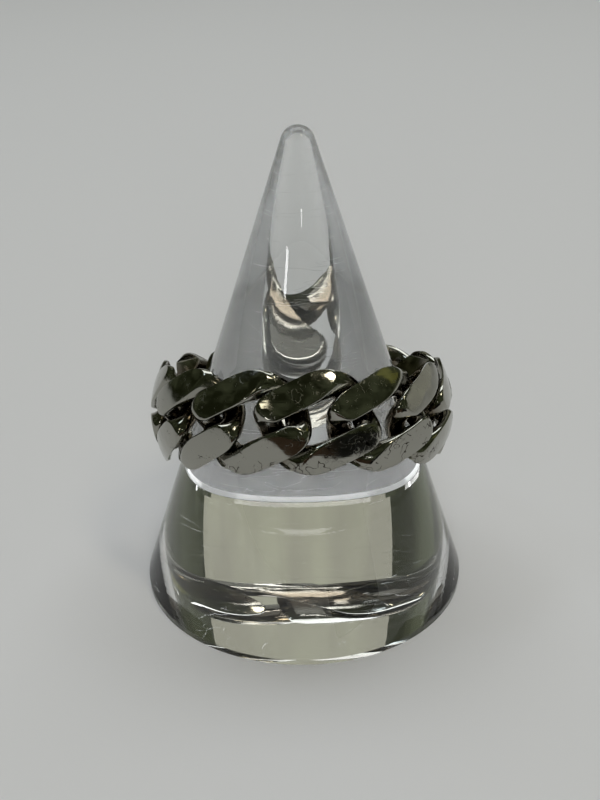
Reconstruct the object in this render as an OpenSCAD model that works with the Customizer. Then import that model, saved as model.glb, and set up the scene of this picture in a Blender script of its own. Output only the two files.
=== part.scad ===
// A finger ring made of flat curb chain, hung tilted on a plain clear ring cone.
// Lengths are in millimetres and angles in degrees. The cone stands on z = 0 with its axis on Z,
// and -Y is the front. Links are counted to the right from the one at the middle of the front.

/* [Cone stand] */
// radius at which the sloping side would meet the table
base_r = 12.5; // [11:0.1:14]
// height at which the sides would meet in a point
apex_h = 38.3; // [36:0.1:42]
// radius of the rounded tip
tip_r = 1.2; // [0.5:0.1:2]
// height of the short upright edge all round the base
base_edge = 0.5; // [0.1:0.05:0.8]

/* [Wire] */
// width of the wire where it is widest
wire_w = 2.14; // [2:0.01:2.3]
// thickness of the wire before it is filed
wire_t = 1.28; // [1.2:0.01:1.4]
// 2 for an oval wire, more for a squarer one
wire_square = 2.1; // [2:0.1:2.5]

/* [Link] */
// room between two wires where one crosses over the other
crossing_room = 0.21; // [0.18:0.01:0.4]
// room left in the length of a link beside two widths of wire
length_room = 0.38; // [0.34:0.01:0.6]
// room left in the height of a link beside three widths of wire
height_room = 0.86; // [0.8:0.01:1]

/* [Filing] */
// how much is filed off the outer side of the wire
outer_cut = 0.34; // [0.3:0.01:0.5]
// how much is polished off the finger side of the wire
finger_cut = 0.45; // [0.4:0.01:0.5]
// radius of the filed face along the row
face_r = 13; // [12:0.1:15]
// radius of the dome of the filed face across the row
face_dome_r = 7; // [6.5:0.1:9]
// radius of the dome of the finger side across the row
finger_dome_r = 5; // [4.5:0.1:6]
// least thickness left at the upper and lower edge
edge_t = 0.35; // [0.25:0.01:0.4]

/* [Row of links] */
// how much more the row reaches forward and back than to the side
row_deep = 0.12; // [0:0.02:0.2]
// how far the ring leans, with its front up and its back down
row_tilt = 22.9; // [20:0.1:26]
// turn of the first link from the middle of the front
first_turn = 5.9; // [3:0.1:9]
// how far the links crowd together toward the back
crowding = 1.3; // [0:0.1:1.5]
// how far the hindmost link rides above the plane of the front ones
back_rise = 1.2; // [0:0.1:1.5]
// room between the cone and the links that lean on it
cone_room = 0.12; // [0.1:0.01:0.3]

/* [Hidden] */
NODES = ["cone_stand", "link_01", "link_02", "link_03", "link_04", "link_05", "link_06", "link_07",
         "link_08", "link_09", "link_10", "link_11", "link_12", "link_13", "link_14"];
LINKS = len(NODES) - 1;
PITCH_TURN = 360 / LINKS;

// Half of one link's wire, from the nose at its left over the top to its right end.
// The other half is the same after a half turn. Columns, all of them shares:
// turn from the link's middle, of the turn between two links
// height, of the highest place of the wire's middle
// depth, 1 where it lies outermost and -1 where it lies innermost
// width, of the widest place
WIRE = [[-0.7, 0.32, 0.91, 0.92],
        [-0.45, 0.6, 1, 0.98],
        [-0.17, 0.84, 0.72, 1],
        [0.12, 1, 0.1, 0.98],
        [0.41, 0.85, -0.73, 0.91],
        [0.64, 0.46, -1, 0.85],
        [0.73, 0.01, -0.31, 0.82]];
TOP = WIRE[3];
// Columns: link number, how many degrees it has slipped to the right of its even place.
SLIP = [[1, 0], [2, 0.4], [3, 1.1], [4, 0.8], [5, 0.4], [6, 0], [LINKS, 0]];
RINGS_PER_POINT = 2;
SIDES = 16;
FIT_ROUNDS = 12;

// The number of links and their length give the ring its size, as on a real chain.
link_pitch = 2 * wire_w + length_room;
row_r = LINKS * link_pitch / (2 * PI);
half_rise = (2 * wire_w + height_room) / 2;
half_depth = (wire_t + crossing_room) / 2;
finger_r = row_r - half_depth - wire_t / 2 + finger_cut;
outer_r = row_r + half_depth + wire_t / 2 - outer_cut;

// Where a row of the table lies, with half the width kept as a fourth value.
function wire_r(row) = row_r + row[2] * half_depth;
function wire_place(row) = let (turn = row[0] * PITCH_TURN)
    [wire_r(row) * sin(turn), -wire_r(row) * cos(turn), row[1] * half_rise, row[3] * wire_w / 2];
function other_half(row) = [-row[0], -row[1], row[2], row[3]];
wire_rows = concat(WIRE, [for (row = WIRE) other_half(row)]);
wire_points = [for (row = wire_rows) wire_place(row)];
point_count = len(wire_points);
function wrap(list, i) = list[(i + len(list)) % len(list)];

// Moves the handles of a closed smooth curve until it passes through the points.
function handles(h, rounds) = rounds < 1 ? h :
    handles([for (i = [0 : len(h) - 1])
        h[i] + wire_points[i] - (wrap(h, i - 1) + 4 * h[i] + wrap(h, i + 1)) / 6], rounds - 1);
wire_handles = handles(wire_points, FIT_ROUNDS);

// The curve and its direction, s points along from the first.
function near(s) = [for (k = [-1 : 2]) wrap(wire_handles, floor(s) + k)];
function on_wire(s) = let (p = near(s), f = s - floor(s))
    (pow(1 - f, 3) * p[0] + (3 * pow(f, 3) - 6 * f * f + 4) * p[1]
    + (-3 * pow(f, 3) + 3 * f * f + 3 * f + 1) * p[2] + pow(f, 3) * p[3]) / 6;
function along_wire(s) = let (p = near(s), f = s - floor(s))
    (-pow(1 - f, 2) * p[0] + (3 * f * f - 4 * f) * p[1]
    + (-3 * f * f + 2 * f + 1) * p[2] + f * f * p[3]) / 2;

function xyz(v) = [v[0], v[1], v[2]];
function flat(v) = [v[0], v[1], 0];
function unit(v) = v / norm(v);
function squared(v) = sign(v) * pow(abs(v), 2 / wire_square);

// The filed outer face is a shallow barrel whose own axis lies behind the ring's axis.
barrel_y = face_r - outer_r;
function barrel_r(z) = face_r - z * z / (2 * face_dome_r);
function file_face(p) = let (axis = [0, barrel_y, p[2]], out = p - axis)
    axis + out * min(1, barrel_r(p[2]) / norm(out));
function face_reach(p) = let (c = -p[1] / norm(flat(p)))
    sqrt(pow(barrel_r(p[2]), 2) - pow(barrel_y, 2) * (1 - c * c)) - barrel_y * c;
function finger_reach(p) = min(finger_r + p[2] * p[2] / (2 * finger_dome_r), face_reach(p) - edge_t);
function file_finger_side(p) = let (k = max(1, finger_reach(p) / norm(flat(p))))
    [p[0] * k, p[1] * k, p[2]];

// One ring of points round the wire, filed on both sides.
function wire_ring(s) = let (
        place = on_wire(s),
        mid = xyz(place),
        ahead = unit(xyz(along_wire(s))),
        outward = unit(flat(mid)),
        up = unit(outward - ahead * (ahead * outward)),
        side = cross(ahead, up))
    [for (j = [0 : SIDES - 1]) let (q = 360 * (j + 0.5) / SIDES)
        file_finger_side(file_face(mid + side * place[3] * squared(cos(q))
            + up * wire_t / 2 * squared(sin(q))))];

// Seen from the side, the front of the row leans on the cone with the dome of its finger side,
// and the back hangs on the lower inner corner of its wire. Both are measured from the middle
// of the row, square to the side of the cone that they meet.
cone_slope = atan(base_r / apex_h);
front_lean = row_tilt - cone_slope;
back_lean = row_tilt + cone_slope;
front_reach = (row_deep + finger_r) * cos(front_lean)
    - finger_dome_r / 2 * sin(front_lean) * tan(front_lean);
corner_power = wire_square / (wire_square - 1);
corner_reach = pow(pow(wire_t / 2 * cos(back_lean), corner_power)
    + pow(TOP[3] * wire_w / 2 * sin(back_lean), corner_power), 1 / corner_power);
back_reach = (row_deep + wire_r(TOP)) * cos(back_lean)
    - (half_rise - back_rise) * sin(back_lean) - corner_reach;
row_y = (front_reach - back_reach) / 2 / cos(cone_slope);
row_z = apex_h - ((front_reach + back_reach) / 2 - cone_room) / sin(cone_slope);

// A closed wire as one solid: the last ring of points joins the first.
module closed_wire(rings) {
    n = len(rings);
    function at(i, j) = (i % n) * SIDES + j % SIDES;
    polyhedron([for (ring = rings) each ring],
        [for (i = [0 : n - 1], j = [0 : SIDES - 1], half = [0, 1])
            half == 0 ? [at(i, j), at(i, j + 1), at(i + 1, j + 1)]
                      : [at(i, j), at(i + 1, j + 1), at(i + 1, j)]]);
}

module cone_stand() {
    ball_z = apex_h - tip_r / sin(cone_slope);
    side_top_z = ball_z + tip_r * sin(cone_slope);
    edge_r = base_r * (1 - base_edge / apex_h);
    color("azure", 0.5) {
        cylinder(h = base_edge, r = edge_r, $fn = 96);
        translate([0, 0, base_edge])
            cylinder(h = side_top_z - base_edge, r1 = edge_r, r2 = tip_r * cos(cone_slope), $fn = 96);
        translate([0, 0, ball_z]) sphere(r = tip_r, $fn = 48);
    }
}

module link(number) {
    deep_r = row_r + row_deep;
    even = first_turn + (number - 1) * PITCH_TURN + lookup(number, SLIP);
    oval_shift = row_deep / (2 * (row_r + deep_r)) * sin(2 * even) * 180 / PI;
    turn = even + oval_shift + crowding * sin(even);
    facing = atan2(deep_r * sin(turn), row_r * cos(turn));
    back = (1 - cos(turn)) / 2;
    rise = back_rise * pow(back, 3);
    rise_per_turn = back_rise * 3 * pow(back, 2) * sin(turn) / 2;
    climb = atan2(rise_per_turn, norm([row_r * cos(turn), deep_r * sin(turn)]));
    color("silver")
        translate([0, row_y, row_z]) rotate([-row_tilt, 0, 0])
            translate([row_r * sin(turn), -deep_r * cos(turn), rise])
                rotate([0, 0, facing]) rotate([0, -climb, 0]) translate([0, row_r, 0])
                    closed_wire([for (i = [0 : point_count * RINGS_PER_POINT - 1])
                        wire_ring(i / RINGS_PER_POINT)]);
}

cone_stand();
for (number = [1 : LINKS])
    link(number);
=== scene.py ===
# %% [markdown]
# # A chain link ring on a clear cone
# A finger ring of flat curb chain hangs on a small clear acrylic cone, as in a jeweller's window.
# The solids come from the CAD model. Here every link and the cone are made again as smooth
# surfaces with a real finish, each in the place of its solid, and set on a pale table.

# %% Load the solids
import math

import bmesh
import bpy
from mathutils import Matrix, Vector


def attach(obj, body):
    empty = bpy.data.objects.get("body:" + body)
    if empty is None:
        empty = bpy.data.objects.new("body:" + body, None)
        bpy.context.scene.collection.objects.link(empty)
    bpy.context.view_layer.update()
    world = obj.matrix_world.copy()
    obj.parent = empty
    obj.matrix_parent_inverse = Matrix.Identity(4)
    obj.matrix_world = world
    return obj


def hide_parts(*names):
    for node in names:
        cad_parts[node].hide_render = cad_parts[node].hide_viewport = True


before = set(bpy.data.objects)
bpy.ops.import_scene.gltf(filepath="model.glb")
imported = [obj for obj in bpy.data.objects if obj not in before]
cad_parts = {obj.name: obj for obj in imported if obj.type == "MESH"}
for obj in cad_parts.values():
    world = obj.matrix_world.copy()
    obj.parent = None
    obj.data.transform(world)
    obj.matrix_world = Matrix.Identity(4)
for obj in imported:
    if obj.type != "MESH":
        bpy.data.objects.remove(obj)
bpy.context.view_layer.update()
MM = 0.001


# %% [markdown]
# ## The run of one link's wire
# A curb link starts as a round or oval wire bent to a ring and twisted, so that it lies flat in
# its neighbours. Its middle line is kept here as seven places on half of the link. Each is a
# share of a size: the turn from the link's middle, the height, the depth in the band and the
# width. The other half is the same after a half turn. A closed cubic B-spline runs through them,
# because it has no kinks that a polished surface would show.

# %% Sizes of the wire and of a link, in millimetres
WIRE_W, WIRE_T, WIRE_SQUARE = 2.14, 1.28, 2.1
CROSSING_ROOM, LENGTH_ROOM, HEIGHT_ROOM = 0.21, 0.38, 0.86
OUTER_CUT, FINGER_CUT, EDGE_T = 0.34, 0.45, 0.35
FACE_R, FACE_DOME_R, FINGER_DOME_R = 13, 7, 5
LINKS = 14
PITCH_TURN = 2 * math.pi / LINKS
HALF_RISE = (2 * WIRE_W + HEIGHT_ROOM) / 2
HALF_DEPTH = (WIRE_T + CROSSING_ROOM) / 2
ROW_R = LINKS * (2 * WIRE_W + LENGTH_ROOM) / (2 * math.pi)
FINGER_R = ROW_R - HALF_DEPTH - WIRE_T / 2 + FINGER_CUT
OUTER_R = ROW_R + HALF_DEPTH + WIRE_T / 2 - OUTER_CUT
# turn, height, depth, width
WIRE = [(-0.7, 0.32, 0.91, 0.92),
        (-0.45, 0.6, 1, 0.98),
        (-0.17, 0.84, 0.72, 1),
        (0.12, 1, 0.1, 0.98),
        (0.41, 0.85, -0.73, 0.91),
        (0.64, 0.46, -1, 0.85),
        (0.73, 0.01, -0.31, 0.82)]
print("finger side radius", round(FINGER_R, 3), "outer radius", round(OUTER_R, 3))

# %% The smooth middle line
FIT_ROUNDS = 20


def wire_place(turn, height, depth, width):
    """The place of the wire's middle, with half its width as a fourth number."""
    r = ROW_R + depth * HALF_DEPTH
    turn *= PITCH_TURN
    return Vector((r * math.sin(turn), -r * math.cos(turn), height * HALF_RISE, width * WIRE_W / 2))


places = [wire_place(*row) for row in WIRE + [(-t, -h, d, w) for t, h, d, w in WIRE]]
COUNT = len(places)
handles = [p.copy() for p in places]
for _ in range(FIT_ROUNDS):
    handles = [h + p - (handles[i - 1] + 4 * h + handles[(i + 1) % COUNT]) / 6
               for i, (h, p) in enumerate(zip(handles, places))]


def on_wire(s):
    """Place and direction of the wire's middle, s places along from the first."""
    a, b, c, d = (handles[(int(s) + k) % COUNT] for k in (-1, 0, 1, 2))
    f = s - int(s)
    place = ((1 - f) ** 3 * a + (3 * f ** 3 - 6 * f * f + 4) * b
             + (-3 * f ** 3 + 3 * f * f + 3 * f + 1) * c + f ** 3 * d) / 6
    ahead = (-(1 - f) ** 2 * a + (3 * f * f - 4 * f) * b
             + (-3 * f * f + 2 * f + 1) * c + f * f * d) / 2
    return place, ahead.to_3d().normalized()


print("wire through", COUNT, "places")

# %% [markdown]
# ## Filing the link
# When the twisted chain is done, a jeweller files its outer side to a shallow barrel, which
# leaves a long flat face on each quarter of a link, and polishes its finger side to a dome that
# doesn't pinch. Both are made by moving each point of the wire back to the filed surface, which
# keeps the narrow rounded rim round the flat as it is on the real link. A Boolean with a barrel
# would do the same but leaves ragged faces that show in a mirror finish.

# %% The two filed surfaces
BARREL_Y = FACE_R - OUTER_R


def barrel_radius(height):
    return FACE_R - height ** 2 / (2 * FACE_DOME_R)


def file_link(p):
    """Moves a point of the wire back to the outer barrel or the finger side's dome."""
    barrel_r = barrel_radius(p.z)
    out = Vector((p.x, p.y - BARREL_Y, 0))
    if p.y < 0 and out.length > barrel_r:
        out *= barrel_r / out.length
        p = Vector((out.x, out.y + BARREL_Y, p.z))
    r = math.hypot(p.x, p.y)
    c = -p.y / r
    face_reach = math.sqrt(barrel_r ** 2 - BARREL_Y ** 2 * (1 - c * c)) - BARREL_Y * c
    finger_reach = min(FINGER_R + p.z ** 2 / (2 * FINGER_DOME_R), face_reach - EDGE_T)
    if r < finger_reach:
        p = Vector((p.x * finger_reach / r, p.y * finger_reach / r, p.z))
    return p


print("the barrel's axis lies", round(BARREL_Y, 2), "mm behind the ring's")

# %% [markdown]
# ## One link
# The wire could be a curve with a bevel, but a bevelled curve can't change its width and be
# filed. So a circle is made at each step along the wire, squared a little, laid across the run
# and filed, and each is bridged to the next.

# %% Make the link once
SIDES, STEPS = 64, 10


def squared(v):
    return math.copysign(abs(v) ** (2 / WIRE_SQUARE), v)


def wire_ring(bm, s):
    """The edges of one filed ring of points across the wire."""
    place, ahead = on_wire(s)
    middle = place.to_3d()
    outward = Vector((middle.x, middle.y, 0)).normalized()
    up = (outward - ahead * ahead.dot(outward)).normalized()
    side = ahead.cross(up)
    ring = bmesh.ops.create_circle(bm, segments=SIDES, radius=1)["verts"]
    for v in ring:
        v.co = file_link(middle + side * place.w * squared(v.co.x) + up * WIRE_T / 2 * squared(v.co.y))
    return list({e for v in ring for e in v.link_edges})


def make_link():
    bm = bmesh.new()
    rings = [wire_ring(bm, i / STEPS) for i in range(COUNT * STEPS)]
    for ring, following in zip(rings, rings[1:] + rings[:1]):
        bmesh.ops.bridge_loops(bm, edges=ring + following)
    bmesh.ops.recalc_face_normals(bm, faces=bm.faces)
    return bm


link_shape = make_link()
print("one link:", len(link_shape.faces), "faces,", round(link_shape.calc_volume(), 2), "mm3")

# %% [markdown]
# ## Where the row sits
# The ring hangs on the cone with its front up. Seen from the side, the front leans on the cone
# with the dome of its finger side, and the back hangs on the lower inner corner of its wire. Its
# place could be set by eye, but a real ring slides down until both ends rest, so it is worked out
# from the slope of the cone. Each reach is measured square to the side of the cone that it meets.

# %% The seat on the cone
BASE_R, APEX_H = 12.5, 38.3
SLOPE = math.atan(BASE_R / APEX_H)
ROW_DEEP, ROW_TILT, BACK_RISE, CONE_ROOM = 0.12, math.radians(22.9), 1.2, 0.12
# of the highest place of the wire
TOP_DEPTH, TOP_WIDTH = WIRE[3][2:]


def row_seat():
    """How far behind the cone's axis the middle of the row lies, and how high."""
    front_lean, back_lean = ROW_TILT - SLOPE, ROW_TILT + SLOPE
    front_reach = ((ROW_DEEP + FINGER_R) * math.cos(front_lean)
                   - FINGER_DOME_R / 2 * math.sin(front_lean) * math.tan(front_lean))
    power = WIRE_SQUARE / (WIRE_SQUARE - 1)
    corner_reach = ((WIRE_T / 2 * math.cos(back_lean)) ** power
                    + (TOP_WIDTH * WIRE_W / 2 * math.sin(back_lean)) ** power) ** (1 / power)
    back_reach = ((ROW_DEEP + ROW_R + TOP_DEPTH * HALF_DEPTH) * math.cos(back_lean)
                  - (HALF_RISE - BACK_RISE) * math.sin(back_lean) - corner_reach)
    behind = (front_reach - back_reach) / 2 / math.cos(SLOPE)
    up = APEX_H - ((front_reach + back_reach) / 2 - CONE_ROOM) / math.sin(SLOPE)
    return behind, up


ROW_Y, ROW_Z = row_seat()
print("the row's middle is", round(ROW_Y, 3), "mm behind the axis and", round(ROW_Z, 3), "mm up")

# %% [markdown]
# ## The row of links
# The weight of the ring pulls it slightly oval, the links crowd together a little where it hangs
# behind, and a few have slipped along. The places are those of the solids, so each link replaces
# the solid of the same name.

# %% The place of each link
FIRST_TURN, CROWDING = math.radians(5.9), math.radians(1.3)
# link number, degrees that it has slipped to the right
SLIP = {2: 0.4, 3: 1.1, 4: 0.8, 5: 0.4}


def link_matrix(number):
    """Takes the link from the middle of the front to its own place in the row, in metres."""
    deep_r = ROW_R + ROW_DEEP
    even = FIRST_TURN + (number - 1) * PITCH_TURN + math.radians(SLIP.get(number, 0))
    oval_shift = ROW_DEEP / (2 * (ROW_R + deep_r)) * math.sin(2 * even)
    turn = even + oval_shift + CROWDING * math.sin(even)
    facing = math.atan2(deep_r * math.sin(turn), ROW_R * math.cos(turn))
    back = (1 - math.cos(turn)) / 2
    rise_per_turn = BACK_RISE * 3 * back ** 2 * math.sin(turn) / 2
    climb = math.atan2(rise_per_turn, math.hypot(ROW_R * math.cos(turn), deep_r * math.sin(turn)))
    in_row = Vector((ROW_R * math.sin(turn), -deep_r * math.cos(turn), BACK_RISE * back ** 3))
    row = Matrix.Translation((0, ROW_Y, ROW_Z)) @ Matrix.Rotation(-ROW_TILT, 4, "X")
    return (Matrix.Scale(MM, 4) @ row @ Matrix.Translation(in_row) @ Matrix.Rotation(facing, 4, "Z")
            @ Matrix.Rotation(-climb, 4, "Y") @ Matrix.Translation((0, ROW_R, 0)))


middle = link_matrix(1) @ Vector((0, -ROW_R, 0)) / MM
print("middle of the front link in mm:", [round(v, 1) for v in middle])

# %% [markdown]
# ## What each link carries for its finish
# A worn finish follows the link and not the room. So each point keeps three values: its place in
# the link, how deep it lies under the filed face, and how hard the lower rim of this link has
# been knocked. The first is moved along by some millimetres from link to link, so that no two
# have the same marks. They are attributes, since Object coordinates would run on across the row.

# %% Make the fourteen links
PATTERN_APART = 9.7
# link number, how hard it has been knocked
KNOCKED = {1: 1, 2: 0.8, 14: 0.3}


def add_piece(name, bm, sharp_from):
    """An object of the bmesh, smooth but for the edges that turn by more than sharp_from degrees."""
    mesh = bpy.data.meshes.new(name)
    bm.to_mesh(mesh)
    mesh.polygons.foreach_set("use_smooth", [True] * len(mesh.polygons))
    mesh.set_sharp_from_angle(angle=math.radians(sharp_from))
    piece = bpy.data.objects.new(name, mesh)
    bpy.context.scene.collection.objects.link(piece)
    return piece


links = []
for number in range(1, LINKS + 1):
    bm = link_shape.copy()
    grain = bm.verts.layers.float_vector.new("in_link")
    depth = bm.verts.layers.float.new("below_face")
    knocked = bm.verts.layers.float.new("knocked")
    for v in bm.verts:
        v[grain] = v.co + Vector((number * PATTERN_APART, 0, 0))
        v[depth] = barrel_radius(v.co.z) - math.hypot(v.co.x, v.co.y - BARREL_Y)
        v[knocked] = KNOCKED.get(number, 0)
    bmesh.ops.transform(bm, matrix=link_matrix(number), verts=bm.verts)
    node = f"link_{number:02d}"
    piece = add_piece("silver_" + node, bm, sharp_from=180)
    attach(piece, "root")
    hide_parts(node)
    links.append(piece)
    bm.free()
link_shape.free()
print("links:", len(links))

# %% [markdown]
# ## The cone
# The stand is one solid piece of cast acrylic, turned or moulded and polished. It has a short
# upright edge at its foot, whose lower corner is eased so that it doesn't chip. The outline is
# drawn as a short chain of points and spun round the axis, with enough steps that the light it
# bends has no facets.

# %% Spin the cone
TIP_R, BASE_EDGE, EASED = 1.2, 0.5, 0.06
TIP_STEPS, SPIN_STEPS, MERGE_WITHIN = 16, 256, 1e-5
BALL_Z = APEX_H - TIP_R / math.sin(SLOPE)
EDGE_R = BASE_R * (1 - BASE_EDGE / APEX_H)


def make_cone():
    bm = bmesh.new()
    outline = [(0, 0), (EDGE_R - EASED, 0), (EDGE_R, EASED), (EDGE_R, BASE_EDGE)]
    for k in range(TIP_STEPS + 1):
        a = SLOPE + (math.pi / 2 - SLOPE) * k / TIP_STEPS
        outline.append((TIP_R * math.cos(a), BALL_Z + TIP_R * math.sin(a)))
    verts = [bm.verts.new((r, 0, z)) for r, z in outline]
    edges = [bm.edges.new(pair) for pair in zip(verts, verts[1:])]
    bmesh.ops.spin(bm, geom=verts + edges, axis=(0, 0, 1), cent=(0, 0, 0), angle=2 * math.pi,
                   steps=SPIN_STEPS, use_merge=True)
    bmesh.ops.remove_doubles(bm, verts=bm.verts, dist=MERGE_WITHIN)
    bmesh.ops.recalc_face_normals(bm, faces=bm.faces)
    bmesh.ops.scale(bm, vec=(MM, MM, MM), verts=bm.verts)
    return bm


bm = make_cone()
print("cone:", len(bm.faces), "faces,", round(bm.calc_volume() / MM ** 3), "mm3")
cone = add_piece("acrylic_cone", bm, sharp_from=10)
bm.free()
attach(cone, "root")
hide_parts("cone_stand")

# %% [markdown]
# ## Helpers for materials
# Every finish is a small set of nodes. One function adds a node with its settings and what goes
# into it, which keeps each node in one short statement. Another turns a given colour into the
# linear values that the renderer works in.

# %% Add a node, turn a colour
def linear(hex_colour):
    """An sRGB colour such as "C8C0B0" as linear red, green, blue and alpha."""
    parts = [int(hex_colour[i:i + 2], 16) / 255 for i in (0, 2, 4)]
    return [p / 12.92 if p <= 0.04045 else ((p + 0.055) / 1.055) ** 2.4 for p in parts] + [1]


def add_node(tree, kind, inputs=None, **settings):
    """Adds a node. Each input gets a value, or a link where it is given another node's socket."""
    node = tree.nodes.new(kind)
    for key, value in settings.items():
        setattr(node, key, value)
    for name, value in (inputs or {}).items():
        if isinstance(value, bpy.types.NodeSocket):
            tree.links.new(value, node.inputs[name])
        else:
            node.inputs[name].default_value = value
    return node


def new_material(name):
    material = bpy.data.materials.new(name)
    material.use_nodes = True
    material.node_tree.nodes.clear()
    return material, material.node_tree


print("the grey 808080 in linear values:", [round(v, 3) for v in linear("808080")])

# %% [markdown]
# ## Silver
# The ring is solid silver, filed flat, buffed and then worn for some time. Buffed silver is a
# nearly neutral mirror with a trace of warmth. Three things take it away from a perfect mirror,
# and each is a pattern in millimetres of the link itself:
# - the buff doesn't reach between the links, so a thin brown tarnish stays there, while the finger
#   keeps the inner side bright,
# - wear leaves hair scratches about 0.1 mm apart, drawn as wide as the picture can show,
# - knocks and rubbing leave soft scuffs a millimetre or two long with thin dull lines in them, and
#   the lower rim of the ring has a few short curved nicks, where it is put down.
# A face that was filed by hand isn't quite even, so its mirror image bends a little.
#
# Each noise is given as so many waves to a millimetre. A line is drawn where a noise has one
# level, so it winds and never crosses another.

# %% Where the link is tarnished
silver, tree = new_material("buffed_and_worn_silver")
in_link = add_node(tree, "ShaderNodeAttribute", attribute_name="in_link").outputs["Vector"]
below_face = add_node(tree, "ShaderNodeAttribute", attribute_name="below_face").outputs["Fac"]
CLOUDS_PER_MM, CLOUD_SHARE = 1.1, 0.5
TARNISH_FROM, TARNISH_FULL, TARNISH_MOST = 0.45, 1.15, 0.8
FINGER_FROM, FINGER_FULL, FINGER_LEAST = 1.4, 1.8, 0.1
cloud = add_node(tree, "ShaderNodeTexNoise", {
    "Vector": in_link, "Scale": CLOUDS_PER_MM, "Detail": 3.0}).outputs["Fac"]
deep = add_node(tree, "ShaderNodeMath", {0: cloud, 1: CLOUD_SHARE, 2: below_face},
                operation="MULTIPLY_ADD").outputs[0]
between = add_node(tree, "ShaderNodeMapRange", {
    "Value": deep, "From Min": TARNISH_FROM, "From Max": TARNISH_FULL,
    "To Max": TARNISH_MOST}).outputs["Result"]
finger_side = add_node(tree, "ShaderNodeMapRange", {
    "Value": below_face, "From Min": FINGER_FROM, "From Max": FINGER_FULL,
    "To Min": 1.0, "To Max": FINGER_LEAST}).outputs["Result"]
tarnish = add_node(tree, "ShaderNodeMath", {0: between, 1: finger_side},
                   operation="MULTIPLY").outputs[0]
print("tarnish starts about", round(TARNISH_FROM - CLOUD_SHARE / 2, 2), "mm under the face")

# %% Scuffs, and the dull lines rubbed in them
SCUFFS_PER_MM, RUBS_PER_MM = 0.9, 2.2
RUB_LEVEL, RUB_HALF_WIDTH, RUB_DULLS_BY = 0.55, 0.02, 0.3
scuff = add_node(tree, "ShaderNodeTexNoise", {
    "Vector": in_link, "Scale": SCUFFS_PER_MM, "Detail": 5.0, "Roughness": 0.65,
    "Distortion": 0.6}).outputs["Fac"]
dull = add_node(tree, "ShaderNodeMapRange", {
    "Value": scuff, "From Min": 0.42, "From Max": 0.68, "To Min": 0.06, "To Max": 0.16}).outputs["Result"]
rubbed = add_node(tree, "ShaderNodeTexNoise", {
    "Vector": in_link, "Scale": RUBS_PER_MM, "Detail": 1.0}).outputs["Fac"]
rub_line = add_node(tree, "ShaderNodeMath", {0: rubbed, 1: RUB_LEVEL, 2: RUB_HALF_WIDTH},
                    operation="COMPARE").outputs[0]
in_scuffs = add_node(tree, "ShaderNodeMapRange", {
    "Value": scuff, "From Min": 0.5, "From Max": 0.6, "To Max": RUB_DULLS_BY}).outputs["Result"]
dull_line = add_node(tree, "ShaderNodeMath", {0: rub_line, 1: in_scuffs, 2: dull},
                     operation="MULTIPLY_ADD").outputs[0]
print("scuffs are about", round(1 / SCUFFS_PER_MM, 1), "mm apart")

# %% Nicks near the lower rim
WINDINGS_PER_MM, KNOCKS_PER_MM = 1.7, 0.9
NICK_LEVEL, NICK_HALF_WIDTH = 0.5, 0.02
LOWER_BY_MM, MORE_WHERE_KNOCKED = -0.05, 0.16
knocked = add_node(tree, "ShaderNodeAttribute", attribute_name="knocked").outputs["Fac"]
winding = add_node(tree, "ShaderNodeTexNoise", {
    "Vector": in_link, "Scale": WINDINGS_PER_MM, "Detail": 1.0}).outputs["Fac"]
nick_line = add_node(tree, "ShaderNodeMath", {0: winding, 1: NICK_LEVEL, 2: NICK_HALF_WIDTH},
                     operation="COMPARE").outputs[0]
where = add_node(tree, "ShaderNodeTexNoise", {
    "Vector": in_link, "Scale": KNOCKS_PER_MM, "Detail": 2.0}).outputs["Fac"]
height = add_node(tree, "ShaderNodeSeparateXYZ", {"Vector": in_link}).outputs["Z"]
lower = add_node(tree, "ShaderNodeMath", {0: height, 1: LOWER_BY_MM, 2: where},
                 operation="MULTIPLY_ADD").outputs[0]
hit = add_node(tree, "ShaderNodeMath", {0: knocked, 1: MORE_WHERE_KNOCKED, 2: lower},
               operation="MULTIPLY_ADD").outputs[0]
patch = add_node(tree, "ShaderNodeMapRange", {
    "Value": hit, "From Min": 0.73, "From Max": 0.76}).outputs["Result"]
nicks = add_node(tree, "ShaderNodeMath", {0: nick_line, 1: patch}, operation="MULTIPLY").outputs[0]
print("knocked links:", sorted(KNOCKED))

# %% Hair scratches and the uneven face
HAIR_TURN, HAIRS_PER_MM = math.radians(35), (0.7, 1, 9)
NICK_SHARE, HAIR_DEEP = -1.5, 0.01 * MM
SWELLS_PER_MM, SWELL_HIGH = 0.7, 0.04 * MM
turned = add_node(tree, "ShaderNodeMapping", {
    "Vector": in_link, "Rotation": (0, HAIR_TURN, 0), "Scale": HAIRS_PER_MM}).outputs["Vector"]
hair = add_node(tree, "ShaderNodeTexNoise", {
    "Vector": turned, "Scale": 1.0, "Detail": 2.0}).outputs["Fac"]
relief = add_node(tree, "ShaderNodeMath", {0: nicks, 1: NICK_SHARE, 2: hair},
                  operation="MULTIPLY_ADD").outputs[0]
scratched = add_node(tree, "ShaderNodeBump", {
    "Height": relief, "Strength": 0.25, "Distance": HAIR_DEEP}).outputs["Normal"]
swell = add_node(tree, "ShaderNodeTexNoise", {
    "Vector": in_link, "Scale": SWELLS_PER_MM, "Detail": 1.0}).outputs["Fac"]
uneven = add_node(tree, "ShaderNodeBump", {
    "Height": swell, "Strength": 1.0, "Distance": SWELL_HIGH, "Normal": scratched}).outputs["Normal"]
print("the face is uneven by", SWELL_HIGH / MM, "mm")

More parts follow.
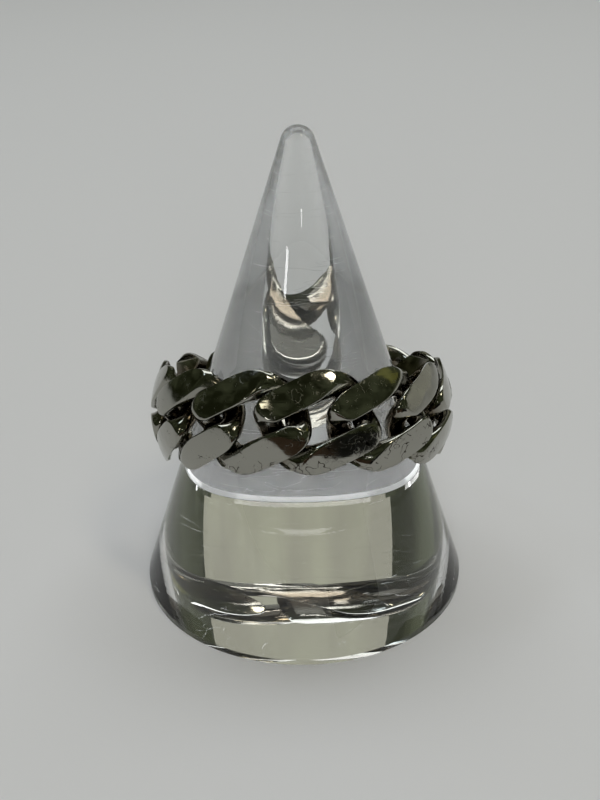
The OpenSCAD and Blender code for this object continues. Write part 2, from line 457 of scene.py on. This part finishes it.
# %% Put the silver together
SILVER_GREY, NICK_BROWN, TARNISH_BROWN = linear("9B9A92"), linear("3A352E"), linear("594C3A")
worn = add_node(tree, "ShaderNodeMix", {0: nicks, 6: SILVER_GREY, 7: NICK_BROWN},
                data_type="RGBA").outputs[2]
tint = add_node(tree, "ShaderNodeMix", {0: tarnish, 6: worn, 7: TARNISH_BROWN},
                data_type="RGBA").outputs[2]
metal = add_node(tree, "ShaderNodeBsdfPrincipled", {
    "Base Color": tint, "Metallic": 1.0, "Roughness": dull_line, "Normal": uneven})
add_node(tree, "ShaderNodeOutputMaterial", {"Surface": metal.outputs["BSDF"]})
for piece in links:
    piece.data.materials.append(silver)
print("silver on", len(links), "links")

# %% [markdown]
# ## Acrylic
# The stand is cast acrylic, machined and polished until it is clear. It bends light a little less
# than glass and has hardly any colour. Handling leaves fine scratches, here drawn only as wide as
# the picture needs to show them. They are level lines of a drawn-out noise, so they are long, a
# little bent, and never cross. The index is 1.40 instead of acrylic's 1.49, which shows the table
# through the cone as wide as the photograph does.

# %% Clear cast acrylic
SCRATCHES_PER_MM, SCRATCH_LEAN = (0.15, 0.15, 0.5), (0.4, 0.3, 0)
SCRATCH_LEVEL, SCRATCH_HALF_WIDTH, SCRATCH_DEEP = 0.5, 0.006, 0.01 * MM
acrylic, tree = new_material("polished_cast_acrylic")
on_cone = add_node(tree, "ShaderNodeTexCoord").outputs["Object"]
drawn_out = add_node(tree, "ShaderNodeMapping", {
    "Vector": on_cone, "Rotation": SCRATCH_LEAN,
    "Scale": [v / MM for v in SCRATCHES_PER_MM]}).outputs["Vector"]
wander = add_node(tree, "ShaderNodeTexNoise", {
    "Vector": drawn_out, "Scale": 1.0, "Detail": 3.0}).outputs["Fac"]
scratch = add_node(tree, "ShaderNodeMath", {0: wander, 1: SCRATCH_LEVEL, 2: SCRATCH_HALF_WIDTH},
                   operation="COMPARE").outputs[0]
scored = add_node(tree, "ShaderNodeBump", {
    "Height": scratch, "Strength": 0.15, "Distance": SCRATCH_DEEP}).outputs["Normal"]
clear = add_node(tree, "ShaderNodeBsdfPrincipled", {
    "Base Color": linear("FAFBFB"), "IOR": 1.4, "Roughness": 0.0, "Transmission Weight": 1.0,
    "Normal": scored})
add_node(tree, "ShaderNodeOutputMaterial", {"Surface": clear.outputs["BSDF"]})
cone.data.materials.append(acrylic)
print("acrylic on", cone.name)

# %% [markdown]
# ## Table
# The cone stands on plain pale paper. It is a little lower than the cone's foot, as paper gives
# way, so that the two surfaces don't lie in one plane and flicker.

# %% Lay the paper
PAPER_HALF_M, PAPER_LOWER = 1.5, 0.02 * MM
bm = bmesh.new()
bmesh.ops.create_grid(bm, x_segments=1, y_segments=1, size=PAPER_HALF_M)
bmesh.ops.translate(bm, vec=(0, 0, -PAPER_LOWER), verts=bm.verts)
table = add_piece("table", bm, sharp_from=30)
bm.free()
paper, tree = new_material("pale_matt_paper")
matt = add_node(tree, "ShaderNodeBsdfPrincipled", {"Base Color": linear("DFDEE0"), "Roughness": 0.8})
add_node(tree, "ShaderNodeOutputMaterial", {"Surface": matt.outputs["BSDF"]})
table.data.materials.append(paper)
print("table:", [round(v) for v in table.dimensions], "m")

# %% [markdown]
# ## Light
# Silver shows nothing but what stands round it, so the light is laid out by direction, as for a
# photograph of jewellery. A broad diffuser hangs above and behind and gives the soft light on the
# paper. A fill low in front lights the paper too, but mirrors don't see it, so the polished faces
# stay dark and deep. A small lamp high at the right, a little window at the left and a low glint
# draw the light spots on the silver, and the foot of the cone mirrors a pale backdrop.
#
# The last four are seen by mirrors alone, because they are there for one reflection each: two
# streaks down the cone, and a green curtain and a pale wall at the right for the links there.

# %% Lamps and diffusers
def from_angles(azimuth, elevation):
    """A direction: azimuth 0 is the front and 90 the viewer's right."""
    a, e = math.radians(azimuth), math.radians(elevation)
    return Vector((math.sin(a) * math.cos(e), -math.cos(a) * math.cos(e), math.sin(e)))


# azimuth, elevation, width and height in degrees, brightness, colour, what sees it
LIGHTS = {"ceiling_diffuser": (180, 68, 60, 28, 2.85, "F6FAFC", "all"),
          "front_fill": (0, 24, 24, 30, 5.2, "FFFFFF", "not mirrors"),
          "backdrop": (177.3, 37.5, 42, 25, 0.8, "9F9D90", "all"),
          "small_lamp": (46, 60, 6, 14, 11, "FFF6DC", "all"),
          "left_window": (-88, 58, 9, 9, 4, "E6F4FF", "all"),
          "low_glint": (-29, 37, 4, 6, 4, "FFF6DC", "all"),
          "left_streak": (-27, 17.3, 3.5, 2.8, 18, "FFFFFF", "only mirrors"),
          "middle_streak": (8.3, 21.3, 2.5, 1, 18, "FFFFFF", "only mirrors"),
          "green_curtain": (95, 34, 9, 12, 0.35, "B5B25A", "only mirrors"),
          "pale_wall": (112, 6.5, 46, 13, 0.4, "F2F0E8", "only mirrors")}
LIGHT_FAR = 0.6
for name, (azimuth, elevation, width, height, brightness, colour, seen) in LIGHTS.items():
    data = bpy.data.lights.new(name, "AREA")
    data.shape = "RECTANGLE"
    data.size, data.size_y = (2 * LIGHT_FAR * math.tan(math.radians(v) / 2) for v in (width, height))
    data.energy = brightness * math.pi * data.size * data.size_y
    data.color = linear(colour)[:3]
    lamp = bpy.data.objects.new(name, data)
    lamp.location = from_angles(azimuth, elevation) * LIGHT_FAR
    lamp.rotation_euler = lamp.location.to_track_quat("Z", "Y").to_euler()
    lamp.visible_glossy = seen != "not mirrors"
    lamp.visible_diffuse = lamp.visible_transmission = seen != "only mirrors"
    bpy.context.scene.collection.objects.link(lamp)
    print(name, round(data.energy, 3), "W")

# %% [markdown]
# ## Room
# Round the table is a dim room with a trace of green. A plain colour would look painted in the
# flat faces of the links, so a noise over the direction gives it vague shapes, lighter toward the
# right. Low behind, beyond the paper, it glows as a pale wall would, which the cone shows. These
# colours are amounts of light, so they are linear from the start.

# %% The room round it
DARKEST, LIGHTEST, GLOW = (0.018, 0.021, 0.009, 1), (0.09, 0.102, 0.06, 1), (0.42, 0.42, 0.4, 1)
world = bpy.data.worlds.new("dim_room")
world.use_nodes = True
bpy.context.scene.world = world
tree = world.node_tree
tree.nodes.clear()
toward = add_node(tree, "ShaderNodeTexCoord").outputs["Generated"]
part = add_node(tree, "ShaderNodeSeparateXYZ", {"Vector": toward}).outputs
low = add_node(tree, "ShaderNodeMapRange", {
    "Value": part["Z"], "From Min": 0.05, "From Max": 0.25, "To Min": 1.0,
    "To Max": 0.0}).outputs["Result"]
behind = add_node(tree, "ShaderNodeMapRange", {
    "Value": part["Y"], "From Min": 0.7, "From Max": 0.85}).outputs["Result"]
glow = add_node(tree, "ShaderNodeMath", {0: low, 1: behind}, operation="MULTIPLY").outputs[0]
shapes = add_node(tree, "ShaderNodeTexNoise", {
    "Vector": toward, "Scale": 6.0, "Detail": 3.0}).outputs["Fac"]
to_right = add_node(tree, "ShaderNodeMapRange", {
    "Value": part["X"], "From Min": 0.2, "From Max": 0.7, "To Max": 0.11}).outputs["Result"]
lit = add_node(tree, "ShaderNodeMath", {0: shapes, 1: to_right}, operation="ADD").outputs[0]
vague = add_node(tree, "ShaderNodeMapRange", {
    "Value": lit, "From Min": 0.45, "From Max": 0.7}).outputs["Result"]
dim = add_node(tree, "ShaderNodeMix", {0: vague, 6: DARKEST, 7: LIGHTEST},
               data_type="RGBA").outputs[2]
room = add_node(tree, "ShaderNodeMix", {0: glow, 6: dim, 7: GLOW}, data_type="RGBA").outputs[2]
sky = add_node(tree, "ShaderNodeBackground", {"Color": room})
add_node(tree, "ShaderNodeOutputWorld", {"Surface": sky.outputs["Background"]})
bpy.context.scene.view_settings.view_transform = "Standard"
print("nodes of the room:", len(tree.nodes))

# %% [markdown]
# ## Dark card
# The lower faces of the links lean toward the paper and would mirror nothing else. A card set low
# in front, as is usual with jewellery, gives them a dark end: its colour is a painted dark reflection,
# brown at the left and black at the right. It stands nearer than the lamps, so it is a real sheet,
# and only mirrors see it.

# %% Set the card
CARD_Y = -38
# x and z of its corners in millimetres
CARD = [(-17, 16.5), (-7, 4.5), (9.5, 4.5), (12.5, 0), (45, 0), (45, 16.5)]
FADE_FROM, FADE_TO = 8 * MM, 15 * MM
bm = bmesh.new()
bm.faces.new([bm.verts.new((x * MM, CARD_Y * MM, z * MM)) for x, z in CARD])
card = add_piece("dark_reflection_card", bm, sharp_from=30)
bm.free()
card.visible_camera = card.visible_diffuse = card.visible_shadow = card.visible_transmission = False
reflection_material, tree = new_material("painted_dark_reflection")
on_card = add_node(tree, "ShaderNodeTexCoord").outputs["Object"]
along = add_node(tree, "ShaderNodeSeparateXYZ", {"Vector": on_card}).outputs["X"]
faded = add_node(tree, "ShaderNodeMapRange", {
    "Value": along, "From Min": FADE_FROM, "From Max": FADE_TO}).outputs["Result"]
# painted dark reflection: brown toward the left end, black toward the right
reflected_tone = add_node(tree, "ShaderNodeMix", {0: faded, 6: linear("5C4634"), 7: linear("14150F")},
               data_type="RGBA").outputs[2]
reflection_surface = add_node(tree, "ShaderNodeBsdfPrincipled", {"Base Color": reflected_tone, "Roughness": 0.9})
add_node(tree, "ShaderNodeOutputMaterial", {"Surface": reflection_surface.outputs["BSDF"]})
card.data.materials.append(reflection_material)
print("dark card:", [round(v / MM, 1) for v in card.dimensions], "mm")

# %% [markdown]
# ## Camera
# The camera looks down at the ring by some 28 degrees from close by, which is why the base looks
# wide and the slope steep. Its place was found from the outline of the cone in the photograph:
# the tip, the two sides and the ellipse of the foot. Lens and sensor give the same frame.

# %% Camera
ELEVATION, ROLL = math.radians(27.94), math.radians(-0.93)
FAR, AIM = 7.164 * BASE_R, Vector((-0.125, 0, 14.91))
SENSOR, LENS, NEAREST = 36, 54, 5 * MM
back = Vector((0, -math.cos(ELEVATION), math.sin(ELEVATION)))
camera_data = bpy.data.cameras.new("camera")
camera_data.sensor_width = SENSOR
camera_data.lens = LENS
camera_data.clip_start = NEAREST
camera = bpy.data.objects.new("camera", camera_data)
bpy.context.scene.collection.objects.link(camera)
facing_ring = back.to_track_quat("Z", "Y").to_matrix().to_4x4()
camera.matrix_world = (Matrix.Translation((AIM + back * FAR) * MM) @ facing_ring
                       @ Matrix.Rotation(ROLL, 4, "Z"))
bpy.context.scene.camera = camera
print("camera at", [round(v / MM, 1) for v in camera.matrix_world.translation], "mm")
